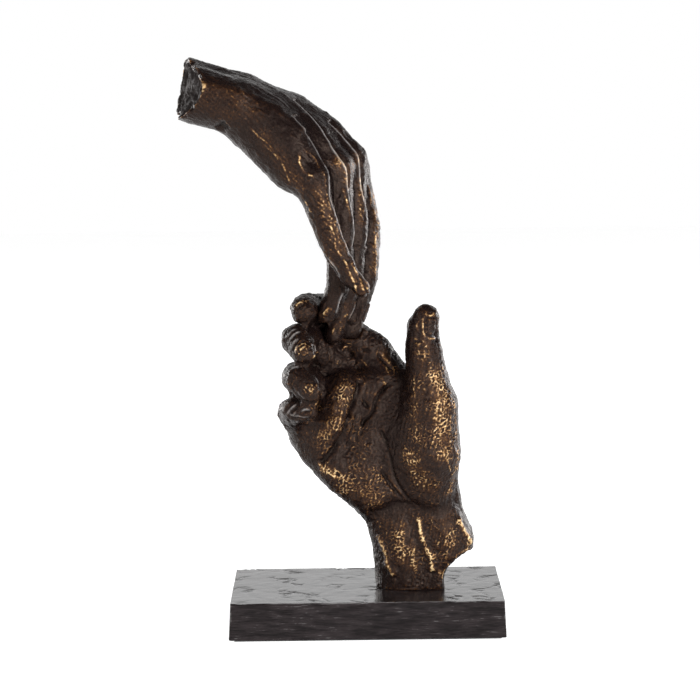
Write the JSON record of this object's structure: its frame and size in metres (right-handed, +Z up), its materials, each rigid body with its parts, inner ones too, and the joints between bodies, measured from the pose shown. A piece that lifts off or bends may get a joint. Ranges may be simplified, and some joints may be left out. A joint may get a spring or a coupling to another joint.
{
  "type": "hand sculpture",
  "caption": "Dark bronze-finished ornament: a hand rising from a rectangular plinth on its broken wrist holds the fingers of a second hand that reaches down to it.",
  "frame": {"origin": "middle of the felt's underside, where the plinth rests", "axes": "+Z up, +X to the right seen from the front, +Y away from the front; the lower hand's palm faces -Y"},
  "size_m": [0.2005, 0.1008, 0.3553],
  "materials": {
    "bronze_patina": "satin",
    "plinth_black": "matte",
    "fixing_steel": "satin",
    "felt": "matte"
  },
  "bodies": {
    "root": {"base_felt": "felt", "plinth": "plinth_black", "lower_hand": "bronze_patina", "upper_hand": "bronze_patina", "fixing_stud": "fixing_steel", "stud_washer": "fixing_steel", "stud_nut": "fixing_steel", "locating_pin": "fixing_steel", "grip_dowel_index": "fixing_steel", "grip_dowel_middle": "fixing_steel"}
  },
  "joints": []
}
